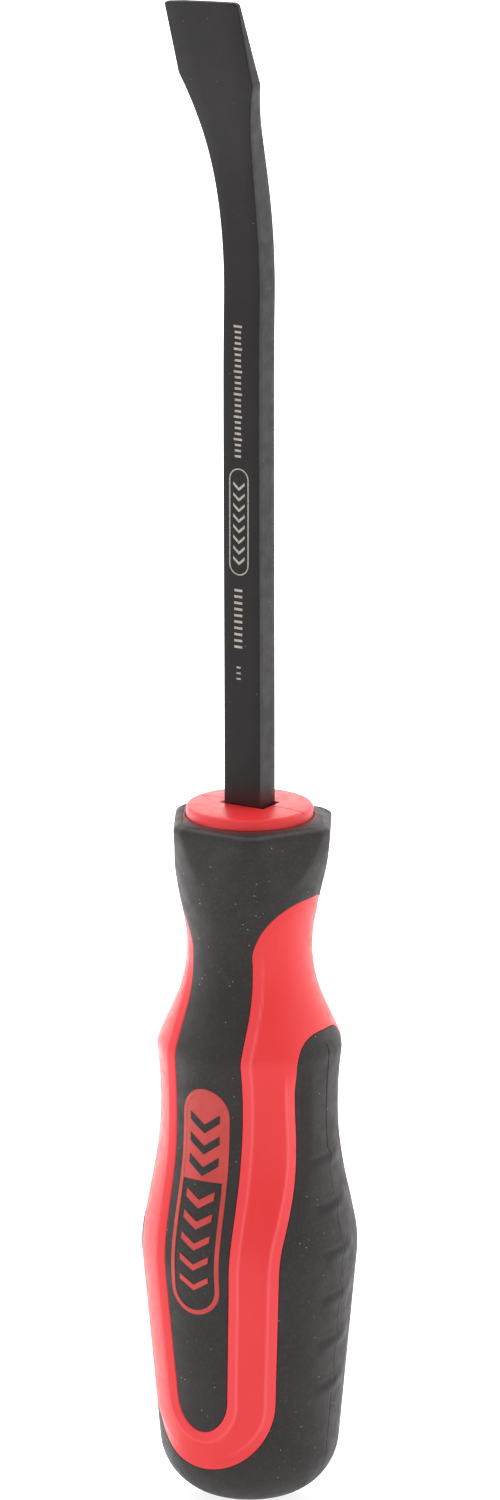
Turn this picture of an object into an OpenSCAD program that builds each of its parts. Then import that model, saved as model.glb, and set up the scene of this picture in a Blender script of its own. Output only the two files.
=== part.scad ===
// Small hand pry lever: a forged square-edged bar with a flared, forward-bent tip,
// held in a red moulded handle core that carries two black soft grips.
// +Z runs from the butt to the tip, and the badge side of the handle faces -Y.

/* [Bar] */
// Height from the butt to the edge of the tip
overall_h = 200; // [190:1:230]
// Width of the bar across its front face
bar_w = 5.2; // [4.6:0.1:5.8]
// Thickness of the bar from front to back
bar_t = 3.8; // [3.4:0.1:4.2]
// Radius of the bend that carries the tip forward
bend_r = 68; // [60:1:90]
// Height of the curved stretch
bend_h = 23.5; // [20:0.5:26]
// Height of the straight, sloping stretch above the curve
blade_h = 17; // [15:0.5:21]

/* [Tip] */
// Width across the flared tip
tip_w = 10.7; // [9:0.1:13]
// Thickness at the tip's edge
tip_t = 0.6; // [0.4:0.1:1]
// Height of the parallel stretch at the tip
tip_flat_h = 10.4; // [8.4:0.2:13]
// Height by which the tip's edge falls from its right end to its left end
tip_skew = 0.8; // [0:0.1:1.5]
// Thickness where the parallel stretch starts
knee_t = 1.9; // [1.6:0.1:2.4]

/* [Tang] */
// Depth of the tang inside the handle
tang_depth = 66; // [50:1:74]
// Width across the wings that lock the tang
wing_w = 9.6; // [8:0.1:10.6]
// Height of one wing
wing_h = 9; // [6:0.5:12]

/* [Handle] */
// Height of the handle up to the top of its collar
handle_h = 91.4; // [88:0.2:96]
// Diameter at the belly
belly_d = 27.8; // [26.6:0.1:29]
// Diameter of the throat between belly and shoulder
throat_d = 22.7; // [22:0.1:23.4]
// Diameter at the shoulder
shoulder_d = 23.6; // [23:0.1:24.4]
// Diameter at the waist
waist_d = 15.9; // [15:0.1:17]
// Width of the six-sided collar across its flats
collar_w = 20.1; // [19.4:0.1:21]
// Diameter of the collar across its rounded corners
collar_d = 22; // [21.4:0.1:23]
// Radius of the rounded butt
butt_r = 8.2; // [7:0.1:8.6]
// Diameter of the small flat on which the handle stands
butt_flat_d = 6.6; // [6:0.1:7.4]
// Diameter of the bolster disc at the top of the handle
disc_d = 16.4; // [15.6:0.1:16.6]
// Height of the bolster disc above the collar
disc_h = 1.1; // [0.8:0.1:2]

/* [Grips] */
// Thickness of the soft grips
grip_t = 1.8; // [1.4:0.1:2.2]
// Thickness of the soft butt
butt_t = 3; // [2:0.1:4]
// Half width of the tongue at the throat
tongue_half = 5.2; // [4.8:0.1:5.6]
// Height at which the tongue ends above the butt
tongue_z = 11; // [10.4:0.1:12]
// Lowest point of the red loop below the tongue
loop_z = 5.9; // [5.2:0.1:6.6]
// Half width of a side panel at its arched top
arch_half = 5; // [4.6:0.1:5.6]
// Ribs on each side panel
rib_count = 6; // [3:1:6]
// Height that a rib stands above the panel
rib_h = 0.45; // [0.3:0.05:0.7]

/* [Badge] */
// Length of the badge
badge_l = 29.8; // [26:0.2:31]
// Half width of the badge
badge_half = 3.6; // [3:0.1:3.8]
// Depth of the badge below the grip's surface
badge_depth = 0.9; // [0.6:0.1:1.2]

/* [Hidden] */

red = [0.93, 0.22, 0.24];
badge_red = [0.82, 0.3, 0.3];
black = [0.16, 0.16, 0.16];
steel = [0.24, 0.24, 0.24];

// Steps round each rounded corner of an outline and along the bar's bend, and sides of the round solids
steps = 5;
bend_steps = 9;
round_fn = 96;
pill_fn = 48;
plain_fn = 24;

// Length that reaches past the handle in every direction, and a small one by which two shapes overlap
reach = 40;
over = 1;

top_z = handle_h + disc_h;
stretch = handle_h / 91.4;
cone_tilt = 5.4;
collar_round = 1.2;
rim_r = collar_d / 2 - collar_round;
collar_foot = 78 * stretch;
collar_sides = 6;
disc_edge = 0.4;
disc_root_z = handle_h - 5;
tilt_start = [butt_flat_d / 2 + butt_r * cos(cone_tilt), butt_r * (1 - sin(cone_tilt))];

// Where the arcs of the collar's rim and of the panel's arch leave their sloping sides, and where the core's
// own butt arc starts
side_arc_from = 18;
core_arc_from = -60;

// Least height between two corners where the core's outline meets its flat bottom and the disc's root
bottom_gap = 0.2;
root_gap = 0.5;

// Outlines are straight lines between a few corners, given as [across, height, run]: each corner is
// rounded by an arc that starts and ends its run away from the corner.

// Outer side of the handle from the cone above the butt to the collar's rim, past the belly, throat,
// shoulder and waist
outer_corners = [
    tilt_start,
    [belly_d / 2 + 0.2, 35 * stretch, 2.5],
    [throat_d / 2 - 0.7, 51 * stretch, 8.8],
    [shoulder_d / 2 + 0.15, 61.5 * stretch, 1],
    [waist_d / 2 - 1, 72 * stretch, 6],
    [collar_d / 2, handle_h - collar_round]
];

// Side of the front grip: the tongue, then its flare into the collar
tongue_foot = 14;
tongue_foot_half = tongue_half - 1.75;
flare_z = 82 * stretch;
tongue_corners = [
    [tongue_foot_half, tongue_foot],
    [tongue_half - 0.3, 32, 5],
    [tongue_half, 56, 6],
    [tongue_half - 0.6, 74 * stretch, 1],
    [tongue_half + 0.6, flare_z, 4.5],
    [reach, flare_z + 0.3]
];

// The red loop around the tongue widens evenly above its rounded bottom
loop_foot = 14;
loop_top = 32;
loop_half = 8.9;
loop_spread = 1.25;

// Side of a side panel, from the belly up to the foot of its arch
arch_foot = 61.6 * stretch;
arch_rise = 2.6;
panel_half = 9.3;
panel_corners = [
    [panel_half, loop_top - 0.5],
    [panel_half, 35, 1.8],
    [arch_half + 0.1, 47.5, 4],
    [arch_half, arch_foot]
];

// Ribs on the side panels
rib_low_z = 17.2;
rib_high_z = 47.7;
rib_l = 6;
rib_r = 0.9;
rib_tilt = 7;

// Badge
badge_top = 57.4;
badge_line = 0.65;
badge_split = 0.42;
badge_margin = 2;

// Bar above the handle
bend_tilt = bend_h / bend_r;
bend_rise = bend_h * bend_h / (2 * bend_r);
bend_z = overall_h - blade_h - bend_h;
flare_h = blade_h + bend_h - tip_flat_h;
flare_power = 3.9;
thin_power = 3;
wing_t = 2.4;
wing_drop = 26;
wing_top = handle_h - wing_drop;
wing_pitch = 2 * wing_h;

// Arc that rounds corner b between its neighbours a and c
function bearing(a, b) = atan2(b[1] - a[1], b[0] - a[0]);
function rounded_corner(a, b, c) =
    let (
        from = bearing(a, b),
        turn = (bearing(b, c) - from + 540) % 360 - 180,
        side = sign(turn),
        r = b[2] / tan(abs(turn) / 2),
        cx = b[0] - b[2] * cos(from) - side * r * sin(from),
        cz = b[1] - b[2] * sin(from) + side * r * cos(from)
    )
    [
        for (k = [0 : steps])
            let (at = from - side * 90 + turn * k / steps)
            [cx + r * cos(at), cz + r * sin(at)]
    ];
function rounded(p) = concat(
    [[p[0][0], p[0][1]]],
    [for (i = [1 : len(p) - 2], q = rounded_corner(p[i - 1], p[i], p[i + 1])) q],
    [[p[len(p) - 1][0], p[len(p) - 1][1]]]
);
outer_side = rounded(outer_corners);
outer_by_height = [for (q = outer_side) [q[1], q[0]]];
function mirrored(p) = [for (i = [len(p) - 1 : -1 : 0]) [-p[i][0], p[i][1]]];

// Arc about [cx, cz] with radii rx and rz, without its last point
function arc(cx, cz, rx, rz, from, to, n) =
    [for (k = [0 : n - 1]) let (a = from + (to - from) * k / n) [cx + rx * cos(a), cz + rz * sin(a)]];

// Forward shift of the bar's front face at height z
function lean(z) =
    let (s = z - bend_z)
    s <= 0 ? 0 : s < bend_h ? s * s / (2 * bend_r) : bend_rise + (s - bend_h) * bend_tilt;

// Prism along Y or X from an outline given as [across, height]
module through_y(outline) {
    translate([0, reach, 0]) rotate([90, 0, 0]) linear_extrude(2 * reach) polygon(outline);
}
module through_x(outline) {
    rotate([0, 0, 90]) through_y(outline);
}

// The handle's outside: turned, with a collar that has six flats
module outer_body() {
    intersection() {
        rotate_extrude($fn = round_fn)
            polygon(concat(
                [[0, 0]],
                arc(butt_flat_d / 2, butt_r, butt_r, butt_r, -90, -cone_tilt, 7),
                outer_side,
                arc(rim_r, handle_h - collar_round, collar_round, collar_round, side_arc_from, 90, 4),
                [[rim_r, handle_h], [0, handle_h]]
            ));
        union() {
            translate([0, 0, -over]) cylinder(h = collar_foot + over, r = reach, $fn = plain_fn);
            translate([0, 0, collar_foot - over])
                cylinder(h = reach, r = collar_w / 2 / cos(180 / collar_sides), $fn = collar_sides);
        }
    }
}

// The red core under the grips, with the bolster disc at its top
module inner_body() {
    low = max(butt_t, grip_t);
    butt = arc(butt_flat_d / 2, butt_r, butt_r - grip_t, butt_r - grip_t, core_arc_from, -cone_tilt, 5);
    rotate_extrude($fn = round_fn)
        polygon(concat(
            [[0, low], [butt_flat_d / 2, low]],
            [for (q = butt) if (q[1] > low + bottom_gap) q],
            [for (q = outer_side) if (q[1] < disc_root_z - root_gap) [q[0] - grip_t, q[1]]],
            [[disc_d / 2, disc_root_z], [disc_d / 2, top_z - disc_edge]],
            [[disc_d / 2 - disc_edge, top_z], [0, top_z]]
        ));
}

module grip_shell() {
    difference() {
        outer_body();
        inner_body();
    }
}

// Zone of the front grip: a round-ended tongue that flares into the collar
module front_zone() {
    half = concat(
        arc(0, tongue_foot, tongue_foot_half, tongue_foot - tongue_z, -90, 0, 8),
        rounded(tongue_corners),
        [[reach, handle_h + reach]]
    );
    through_y(concat(half, mirrored(half)));
}

// Zone inside the outer edge of the red loop, up to the belly
module loop_zone() {
    half = concat(
        arc(0, loop_foot, loop_half, loop_foot - loop_z, -90, 0, 8),
        [[loop_half, loop_foot]],
        [for (z = [loop_top, loop_top + over]) [loop_half + loop_spread, z]]
    );
    through_y(concat(half, mirrored(half)));
}

// Zone of the rear grip: all that lies outside the loop, and the two arched side panels
module rear_zone() {
    half = concat(
        rounded(panel_corners),
        arc(arch_half - arch_rise, arch_foot, arch_rise, arch_rise, side_arc_from, 90, 4),
        [[arch_half - arch_rise, arch_foot + arch_rise]]
    );
    difference() {
        translate([-reach, -reach, -reach]) cube([2 * reach, 2 * reach, reach + loop_top]);
        loop_zone();
    }
    through_x(concat(half, mirrored(half)));
}

// One rib, a rounded bar that follows the side panel round at height z and rises towards the back
module rib(z, r) {
    sweep = rib_l / r * 180 / PI;
    translate([0, 0, z])
        rotate([rib_tilt, 0, 0])
            rotate([0, 0, -sweep / 2])
                rotate_extrude(angle = sweep, $fn = round_fn)
                    translate([r + rib_h - rib_r, 0]) circle(r = rib_r, $fn = plain_fn);
}

// Square-edged bar, drawn as its side outline cut to its front outline
module forged_bar() {
    foot_z = top_z - tang_depth;
    knee_z = overall_h - tip_flat_h;
    side = concat(
        [[0, foot_z]],
        [for (k = [0 : bend_steps]) let (z = bend_z + k * bend_h / bend_steps) [-lean(z), z]],
        [[-lean(overall_h), overall_h], [tip_t - lean(overall_h), overall_h]],
        [for (k = [bend_steps : -1 : 0]) let (u = k / bend_steps, z = bend_z + u * (knee_z - bend_z))
            [bar_t - (bar_t - knee_t) * pow(u, thin_power) - lean(z), z]],
        [[bar_t, foot_z]]
    );
    half = [
        for (k = [0 : bend_steps], u = k / bend_steps)
            [bar_w / 2 + (tip_w - bar_w) / 2 * pow(u, flare_power), bend_z + u * flare_h]
    ];
    front = concat(
        [[bar_w / 2, foot_z - over]],
        half,
        [[tip_w / 2, overall_h], [-tip_w / 2, overall_h - tip_skew]],
        mirrored(half),
        [[-bar_w / 2, foot_z - over]]
    );
    intersection() {
        translate([0, -bar_t / 2, 0]) through_x(side);
        through_y(front);
    }
}

// Flat wings forged on the tang, which stop it turning in the core
module tang_wings() {
    for (i = [0, 1])
        translate([0, 0, wing_top - i * wing_pitch])
            cube([wing_w, wing_t, wing_h], center = true);
}

module pry_bar() {
    color(steel) {
        forged_bar();
        tang_wings();
    }
}

module handle_core() {
    color(red)
        difference() {
            union() {
                inner_body();
                difference() {
                    outer_body();
                    front_zone();
                    rear_zone();
                }
            }
            forged_bar();
            tang_wings();
        }
}

// Outline of the badge: a pill whose upper part is solid and whose lower part is a ring
module badge_outline() {
    module pill(half, low, high) {
        translate([0, low + half]) circle(r = half, $fn = pill_fn);
        translate([0, high - half]) circle(r = half, $fn = pill_fn);
        translate([-half, low + half]) square([2 * half, high - low - 2 * half]);
    }
    low = badge_top - badge_l;
    difference() {
        pill(badge_half, low, badge_top);
        intersection() {
            pill(badge_half - badge_line, low + badge_line, badge_top - badge_line);
            translate([-badge_half, low]) square([2 * badge_half, badge_l * (1 - badge_split)]);
        }
    }
}

// The handle's outer surface drawn in by the badge's depth, over the badge's height
module badge_bed() {
    side = [
        for (z = [badge_top - badge_l - badge_margin : 1 : badge_top + badge_margin])
            [lookup(z, outer_by_height) - badge_depth, z]
    ];
    rotate_extrude($fn = round_fn)
        polygon(concat([[0, side[0][1]]], side, [[0, side[len(side) - 1][1]]]));
}

module badge_block() {
    intersection() {
        rotate([90, 0, 0]) linear_extrude(reach) badge_outline();
        difference() {
            outer_body();
            badge_bed();
        }
    }
}

module front_grip() {
    color(black)
        difference() {
            intersection() {
                grip_shell();
                front_zone();
            }
            badge_block();
        }
}

module rear_grip() {
    color(black) {
        intersection() {
            grip_shell();
            rear_zone();
        }
        for (i = [0 : rib_count - 1], side = [0, 1]) {
            z = rib_low_z + i * (rib_high_z - rib_low_z) / (rib_count - 1);
            mirror([side, 0, 0]) rib(z, lookup(z, outer_by_height));
        }
    }
}

module badge_inlay() {
    color(badge_red) badge_block();
}

pry_bar();
handle_core();
front_grip();
rear_grip();
badge_inlay();
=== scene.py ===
"""Looks of a small hand pry lever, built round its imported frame.

Lengths are millimetres in the frame's axes: +Z from the butt to the tip, -Y the badge side. A place on the
handle is (angle, height), where angle 0 faces -Y and 90 faces +X. The seams are drawn for one quarter of the
handle and mirrored to the other three.
"""
import math

import bmesh
import bpy
import numpy as np
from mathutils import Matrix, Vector


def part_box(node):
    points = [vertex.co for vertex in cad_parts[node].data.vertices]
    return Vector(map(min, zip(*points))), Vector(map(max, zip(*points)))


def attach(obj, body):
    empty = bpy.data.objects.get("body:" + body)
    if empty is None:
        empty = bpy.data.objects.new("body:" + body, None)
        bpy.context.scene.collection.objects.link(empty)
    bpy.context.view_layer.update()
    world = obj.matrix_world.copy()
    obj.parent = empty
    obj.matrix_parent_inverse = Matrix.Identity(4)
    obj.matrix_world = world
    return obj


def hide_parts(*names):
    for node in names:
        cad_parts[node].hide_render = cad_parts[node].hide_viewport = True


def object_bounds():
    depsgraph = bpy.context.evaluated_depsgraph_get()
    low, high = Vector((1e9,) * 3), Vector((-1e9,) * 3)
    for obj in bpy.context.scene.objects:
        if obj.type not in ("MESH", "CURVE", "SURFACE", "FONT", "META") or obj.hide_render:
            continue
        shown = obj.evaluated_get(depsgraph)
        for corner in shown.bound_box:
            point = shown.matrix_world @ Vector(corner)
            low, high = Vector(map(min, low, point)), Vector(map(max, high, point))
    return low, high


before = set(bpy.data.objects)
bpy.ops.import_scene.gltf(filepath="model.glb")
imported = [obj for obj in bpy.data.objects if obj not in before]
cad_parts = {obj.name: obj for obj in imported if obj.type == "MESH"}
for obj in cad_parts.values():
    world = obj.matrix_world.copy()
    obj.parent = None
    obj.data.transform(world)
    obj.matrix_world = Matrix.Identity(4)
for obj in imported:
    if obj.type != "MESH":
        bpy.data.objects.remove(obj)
cad_low, cad_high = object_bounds()

MM = 0.001
TIP_Z = cad_high.z / MM
DISC_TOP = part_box("handle_core")[1].z / MM
COLLAR_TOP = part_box("front_grip")[1].z / MM
TANG_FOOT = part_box("pry_bar")[0].z / MM

# Outlines are straight lines between corners (across, height, run), each rounded by an arc that starts and
# ends its run away from the corner.

# The handle: a butt with a small flat, then belly, throat, shoulder, waist and collar
BUTT_FLAT, BUTT_R, CONE_TILT = 3.4, 8.3, 5.3
HANDLE_CORNERS = [(14.2, 35, 2.4), (10.95, 51, 9), (12.1, 61.5, 1), (7.3, 72, 6), (9.8, 84.5, 2.4)]
# The collar: half its width at the rim, how far and over which heights its six corners swell, how soft they
# are, how far and over which heights it stands off the axis, and how much lower the rim's back is
RIM_HALF, RIM_R = 10.2, 1.0
COLLAR_CORNER, COLLAR_SWELL, CORNER_SOFT = 1.15, (82.4, 92), 0.14
COLLAR_LEAN, LEAN_HEIGHTS = (0.33, 0.2), (81, 90)
REAR_DROOP = 0.4
# Behind the side's middle line the seams are turned back: by how many degrees, the angles over which this
# comes and goes, and the heights over which it fades
REAR_TURN, TURN_COMES, TURN_GOES, TURN_FADE = 8.5, (90, 106), (130, 172), (66, 78)
# The bolster disc: its edge's height and rounding, and the rise of its top towards the bar
DISC_R = 8.24
DISC_EDGE, DISC_ROUND, DISC_RAISED = 93.0, 0.55, 0.2

# Seam of the front grip: the tongue's elliptical foot, its sides, then (angle, height) under the collar
TONGUE_FOOT, TONGUE_FOOT_RISE, TONGUE_FOOT_HALF = 11.15, 4.85, 3.8
TONGUE_CORNERS = [(4.85, 33, 4), (5.35, 60, 8)]
TONGUE_END = (4.5, 74.5)
COLLAR_SEAM = [(38, 76.8), (48, 79.1), (66, 81.1), (90, 81.7)]
# Seam of the rear grip in (angle, height): an elliptical foot, the side panel's two corners, then its arch
PANEL_FOOT, PANEL_FOOT_RISE, PANEL_FOOT_TURN = 5.9, 9.4, 47.4
PANEL_CORNERS = [(47.3, 35.6, 2.5), (65, 47.6, 4.5)]
ARCH_FOOT, ARCH_RISE, ARCH_TURN, ARCH_POWER = 60.4, 3.8, 27.6, 0.8
# Millimetres that a degree counts for where the panel's corners are rounded
DEGREE = 0.22
# Thickness of the soft grips
SKIN = 1.9

# The shank: half its width, its front face, its edges' rounding, and its sideways shift over two spans
BAR_HALF_W, BAR_FRONT, BAR_CORNER = 2.69, -1.97, 0.2
BAR_LEAN, LEAN_COMES, LEAN_GOES = -0.16, (92, 150), (150, 168)
# The bend, the blade with the drops from the tip down to the end of its flare on either side, and the bar's
# outline in thickness
BEND_Z, BEND_H, BEND_R = 159.4, 23.5, 68.0
BLADE_HALF_W, KNEE_DROPS, FLARE_POWER = 5.43, (9.97, 10.76), 3.93
THICKNESS = [(3.92, 92), (4.05, 174.7, 6), (0.8, 200)]
# The ground edge is out of square: its height above the bar's end is the lift, plus the slope times X, less
# the bulge times X squared. Its two corners are rounded.
TIP_LIFT, TIP_SLOPE, TIP_BULGE, TIP_CORNER = 0.29, 0.07, 0.0024, 0.5
# Wings of the tang, hidden in the handle: the middle of the upper one, their pitch and their half size
WING_Z, WING_PITCH, WING_HALF = COLLAR_TOP - 26, 18, (4.8, 1.2, 4.5)

# The camera looks at a point on the axis
CAMERA_TURN, CAMERA_TILT, CAMERA_AWAY = 31.5, 15.2, 1500.0
CAMERA_HEIGHT, CAMERA_SIDE = 100.137, 0.04
LENS, SENSOR = 279.69, 36.0


# ---- curves

def bend_through(xs, ys, x):
    """Cubic through the points (xs, ys), whose slope at each point is the mean of its neighbours' slopes."""
    xs, ys = np.asarray(xs, float), np.asarray(ys, float)
    step, slope = np.diff(xs), np.diff(ys) / np.diff(xs)
    tangent = np.concatenate([
        slope[:1], (slope[:-1] * step[1:] + slope[1:] * step[:-1]) / (step[1:] + step[:-1]), slope[-1:],
    ])
    k = np.clip(np.searchsorted(xs, x, side="right") - 1, 0, len(step) - 1)
    t = (x - xs[k]) / step[k]
    return (
        ys[k] * (1 + 2 * t) * (1 - t) ** 2 + tangent[k] * step[k] * t * (1 - t) ** 2
        + ys[k + 1] * t * t * (3 - 2 * t) + tangent[k + 1] * step[k] * t * t * (t - 1)
    )


def ease(low, high, x):
    t = np.clip((x - low) / (high - low), 0, 1)
    return t * t * (3 - 2 * t)


def rounded(points, steps=10):
    """Points along straight lines between corners (across, height, run), with an arc round each inner one."""
    line = [np.array(points[0][:2], float)]
    for before, corner, after in zip(points, points[1:], points[2:]):
        b, run = np.array(corner[:2], float), corner[2]
        into, out = b - before[:2], np.array(after[:2]) - b
        into, out = into / np.hypot(*into), out / np.hypot(*out)
        turn = math.acos(np.clip(into @ out, -1, 1))
        radius = run / math.tan(turn / 2)
        centre = b - run * into + radius * (out - into @ out * into) / math.sin(turn)
        spoke = b - run * into - centre
        for k in range(steps + 1):
            at = turn * k / steps
            line.append(centre + spoke * math.cos(at) + into * radius * math.sin(at))
    line.append(np.array(points[-1][:2], float))
    return np.array(line)


THICKNESS_LINE = rounded(THICKNESS)


def profile():
    """The handle's outline as dense arrays: distance along it from the pole, radius and height."""
    angle = np.radians(np.linspace(-90, -CONE_TILT, 80))
    butt_r, butt_z = BUTT_FLAT + BUTT_R * np.cos(angle), BUTT_R + BUTT_R * np.sin(angle)
    body_z = np.linspace(butt_z[-1], COLLAR_TOP, 1200)
    side = rounded([(butt_r[-1], butt_z[-1])] + HANDLE_CORNERS + [(RIM_HALF, COLLAR_TOP)])
    body_r = np.interp(body_z, side[:, 1], side[:, 0])
    r = np.concatenate([[0], butt_r, body_r[1:]])
    z = np.concatenate([[0], butt_z, body_z[1:]])
    return np.concatenate([[0], np.cumsum(np.hypot(np.diff(r), np.diff(z)))]), r, z


ALONG, RADIUS, HEIGHT = profile()


def spaced(line):
    """The same line with a point about every millimetre of height."""
    heights = np.linspace(line[0, 1], line[-1, 1], int(line[-1, 1] - line[0, 1]) + 2)
    return np.stack([np.interp(heights, line[:, 1], line[:, 0]), heights], -1)


def along_at(z):
    return np.interp(z, HEIGHT[1:], ALONG[1:])


def radius_at(z):
    return np.interp(z, HEIGHT[1:], RADIUS[1:])


def skin_point(angle, along, depth=0.0):
    """Point of the handle's surface, drawn in by depth along the surface's normal."""
    r, z = np.interp(along, ALONG, RADIUS), np.interp(along, ALONG, HEIGHT)
    dr = np.interp(along + 0.05, ALONG, RADIUS) - np.interp(along - 0.05, ALONG, RADIUS)
    dz = np.interp(along + 0.05, ALONG, HEIGHT) - np.interp(along - 0.05, ALONG, HEIGHT)
    size = np.hypot(dr, dz)
    corner = COLLAR_CORNER * ease(*COLLAR_SWELL, z)
    to_flat = np.radians((angle + 30) % 60 - 30)
    flat, turned = r / np.cos(to_flat), r + corner
    softened = (flat + turned - np.sqrt((flat - turned) ** 2 + (CORNER_SOFT * corner) ** 2)) / 2
    r = np.where(corner > 0, softened, r)
    r, z = r - depth * dz / size, z + depth * dr / size
    turn = np.radians(angle)
    return np.stack([r * np.sin(turn), -r * np.cos(turn), z], -1)


def seam(points, mirror_start=True):
    """Dense (angle, along) curve through (angle, height) points that crosses the quarter's edges squarely."""
    p = np.array(points, float)
    ghosts = [[2 * p[0][0] - p[1][0], p[1][1]]] if mirror_start else []
    tail = [[2 * p[-1][0] - p[-2][0], p[-2][1]]]
    q = np.array(ghosts + p.tolist() + tail)
    arc = np.radians(np.diff(q[:, 0])) * radius_at((q[1:, 1] + q[:-1, 1]) / 2)
    t = np.concatenate([[0], np.cumsum(np.hypot(arc, np.diff(q[:, 1])))])
    fine = np.linspace(t[len(ghosts)], t[-2], 1500)
    return np.stack([bend_through(t, q[:, 0], fine), along_at(bend_through(t, q[:, 1], fine))], -1)


def foot_arc(half, low, rise):
    """Quarter of an ellipse that rises from a seam's lowest point."""
    turn = np.radians(np.arange(0, 90, 6))
    return np.stack([half * np.sin(turn), low + rise * (1 - np.cos(turn))], -1)


def tongue_seam():
    foot = foot_arc(TONGUE_FOOT_HALF, TONGUE_FOOT, TONGUE_FOOT_RISE)
    side = rounded([(TONGUE_FOOT_HALF, TONGUE_FOOT + TONGUE_FOOT_RISE)] + TONGUE_CORNERS + [TONGUE_END])
    curve = [(math.degrees(math.asin(x / radius_at(z))), z) for x, z in np.concatenate([foot, spaced(side)])]
    return seam(curve + COLLAR_SEAM, mirror_start=False)


def panel_seam():
    foot = foot_arc(PANEL_FOOT_TURN, PANEL_FOOT, PANEL_FOOT_RISE)
    corners = [(PANEL_FOOT_TURN, PANEL_FOOT + PANEL_FOOT_RISE), *PANEL_CORNERS, (90 - ARCH_TURN, ARCH_FOOT)]
    side = spaced(rounded([(c[0] * DEGREE, *c[1:]) for c in corners]))
    turn = np.radians(np.arange(6, 96, 6))
    across = ARCH_TURN * np.maximum(np.cos(turn), 0) ** ARCH_POWER
    arch = np.stack([90 - across, ARCH_FOOT + ARCH_RISE * np.sin(turn)], -1)
    return seam(np.concatenate([foot, side / (DEGREE, 1), arch]).tolist())


def matched(curve, knots):
    """The rows' points on a dense curve: knots are (share, height) pairs along it."""
    heights = np.interp(curve[:, 1], ALONG, HEIGHT)
    length = np.concatenate([[0], np.cumsum(np.hypot(
        np.radians(np.diff(curve[:, 0])) * radius_at(heights[1:]), np.diff(curve[:, 1])))])
    places = [length[np.argmin(abs(heights - z))] if 0 < s < 1 else s * length[-1] for s, z in knots]
    at = np.interp(SHARES, [k[0] for k in knots], places)
    # The straight pieces between the knots are smoothed, so that rows change pace gently
    for _ in range(40):
        at[1:-1] = (at[:-2] + 2 * at[1:-1] + at[2:]) / 4
    return np.stack([np.interp(at, length, curve[:, 0]), np.interp(at, length, curve[:, 1])], -1)


# Rows run from the front's middle line (share 0) up to the side's middle line (share 1). Knots say at which
# share a seam reaches a height, and a spine is where the rows end inside a grip.
LEGS = [(0, 0.06, 24), (0.06, 0.135, 24), (0.135, 0.72, 160), (0.72, 0.8, 30), (0.8, 1, 60)]
SHARES = np.concatenate([np.linspace(a, b, rows, endpoint=False) for a, b, rows in LEGS] + [[1]])
FRONT_KNOTS = [(0, 11.15), (0.06, 14), (0.13, 20), (0.6, 60), (0.76, 74.5), (0.86, 78.5), (1, 81.7)]
REAR_KNOTS = [(0, 5.9), (0.1, 13), (0.17, 20), (0.6, 57), (0.76, 62.9), (1, 64.2)]
FRONT_SEAM = matched(tongue_seam(), FRONT_KNOTS)
REAR_SEAM = matched(panel_seam(), REAR_KNOTS)


def path(*legs):
    """The rows' points along straight (share, angle, height) legs."""
    share, angle, height = np.array(legs, float).T
    return np.stack([np.interp(SHARES, share, angle), along_at(np.interp(SHARES, share, height))], -1)


RIM_FOOT = COLLAR_TOP - RIM_R
FRONT_SPINE = path((0, 0, 13.2), (0.06, 0, 15), (0.13, 0, 20), (0.6, 0, 62), (0.72, 0, RIM_FOOT),
                   (0.8, 24, RIM_FOOT), (1, 90, RIM_FOOT))
REAR_SPINE = path((0, 0, 0.02), (0.1, 55, 0.02), (0.135, 90, 0.02), (0.2, 90, 16), (0.6, 90, 54),
                  (1, 90, 62.6))


# ---- meshes

def add_object(name, data):
    made = bpy.data.objects.new(name, data)
    bpy.context.scene.collection.objects.link(made)
    return made


def make_mesh(name, vertices, faces, sharp=35):
    """Closed, smooth-shaded object from points in millimetres, creased where it turns by more than sharp."""
    bm = bmesh.new()
    made = [bm.verts.new(Vector(v) * MM) for v in vertices]
    for face in faces:
        corners = list(dict.fromkeys(made[i] for i in face))
        if len(corners) > 2:
            bm.faces.new(corners)
    bmesh.ops.remove_doubles(bm, verts=bm.verts, dist=2e-7)
    bmesh.ops.dissolve_degenerate(bm, edges=bm.edges, dist=1e-8)
    bmesh.ops.recalc_face_normals(bm, faces=bm.faces)
    mesh = bpy.data.meshes.new(name)
    bm.to_mesh(mesh)
    bm.free()
    for polygon in mesh.polygons:
        polygon.use_smooth = True
    mesh.set_sharp_from_angle(angle=math.radians(sharp))
    return add_object(name, mesh)


def grid_faces(rows, columns, start=0, wrap=False):
    """Quads between the points of a rows by columns grid."""
    faces = []
    for i in range(rows - 1):
        for j in range(columns if wrap else columns - 1):
            a, b = start + i * columns + j, start + i * columns + (j + 1) % columns
            faces.append((a, b, b + columns, a + columns))
    return faces


def prism_faces(levels, count, start=0):
    """Faces of a stack of rings, closed at its bottom and its top."""
    top = start + (levels - 1) * count
    ends = [tuple(range(start, start + count))[::-1], tuple(range(top, top + count))]
    return grid_faces(levels, count, start, wrap=True) + ends


def tube_faces(levels, count, start):
    """Faces of a ring-shaped tube: its last row joins its first."""
    last = start + (levels - 1) * count
    faces = grid_faces(levels, count, start, wrap=True)
    for k in range(count):
        faces.append((last + k, last + (k + 1) % count, start + (k + 1) % count, start + k))
    return faces


# A distance past every seam, and how many points are measured at once
FAR, BLOCK = 99.0, 4000


def seam_distance(points, line):
    """Distance from each point of the first quarter to a seam."""
    along_line = skin_point(line[:, 0], line[:, 1])
    nearest = np.full(len(points), FAR)
    for k in range(0, len(points), BLOCK):
        block = points[k:k + BLOCK]
        nearest[k:k + BLOCK] = np.sqrt(((block[:, None] - along_line[None]) ** 2).sum(-1).min(1))
    return nearest


# Distances from a line at which columns of points lie: from a seam over its edge and chamfer, and from the
# panel's parting line
EDGE_STEPS = [0, 0.04, 0.1, 0.2, 0.35, 0.6, 0.9, 1.15, 1.3, 1.45, 1.6, 1.8]
LINE_STEPS = [0.5, 0.22, 0.12, 0.06, 0]


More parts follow.
